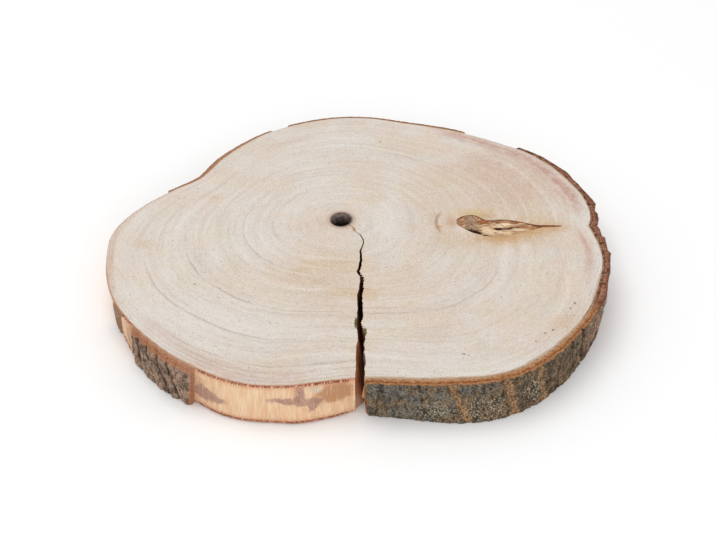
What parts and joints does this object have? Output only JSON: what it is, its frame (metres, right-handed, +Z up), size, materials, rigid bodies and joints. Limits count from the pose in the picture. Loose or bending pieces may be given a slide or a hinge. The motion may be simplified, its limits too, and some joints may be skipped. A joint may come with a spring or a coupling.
{
  "type": "wood slice",
  "caption": "Flat slice sawn straight across a tree trunk, used as a stand or board, with bark along its edge, a hollow pith, a knot and a drying crack to the rim.",
  "frame": {"origin": "middle of the slice's box, on its underside", "axes": "+Z up out of the upper sawn face, +X along the longer side, towards the knot, -Y towards the open end of the drying crack"},
  "size_m": [0.3552, 0.3178, 0.031],
  "materials": {
    "wood": "dry sawn, unsealed"
  },
  "bodies": {
    "root": {"wood_slice": "wood"}
  },
  "joints": []
}
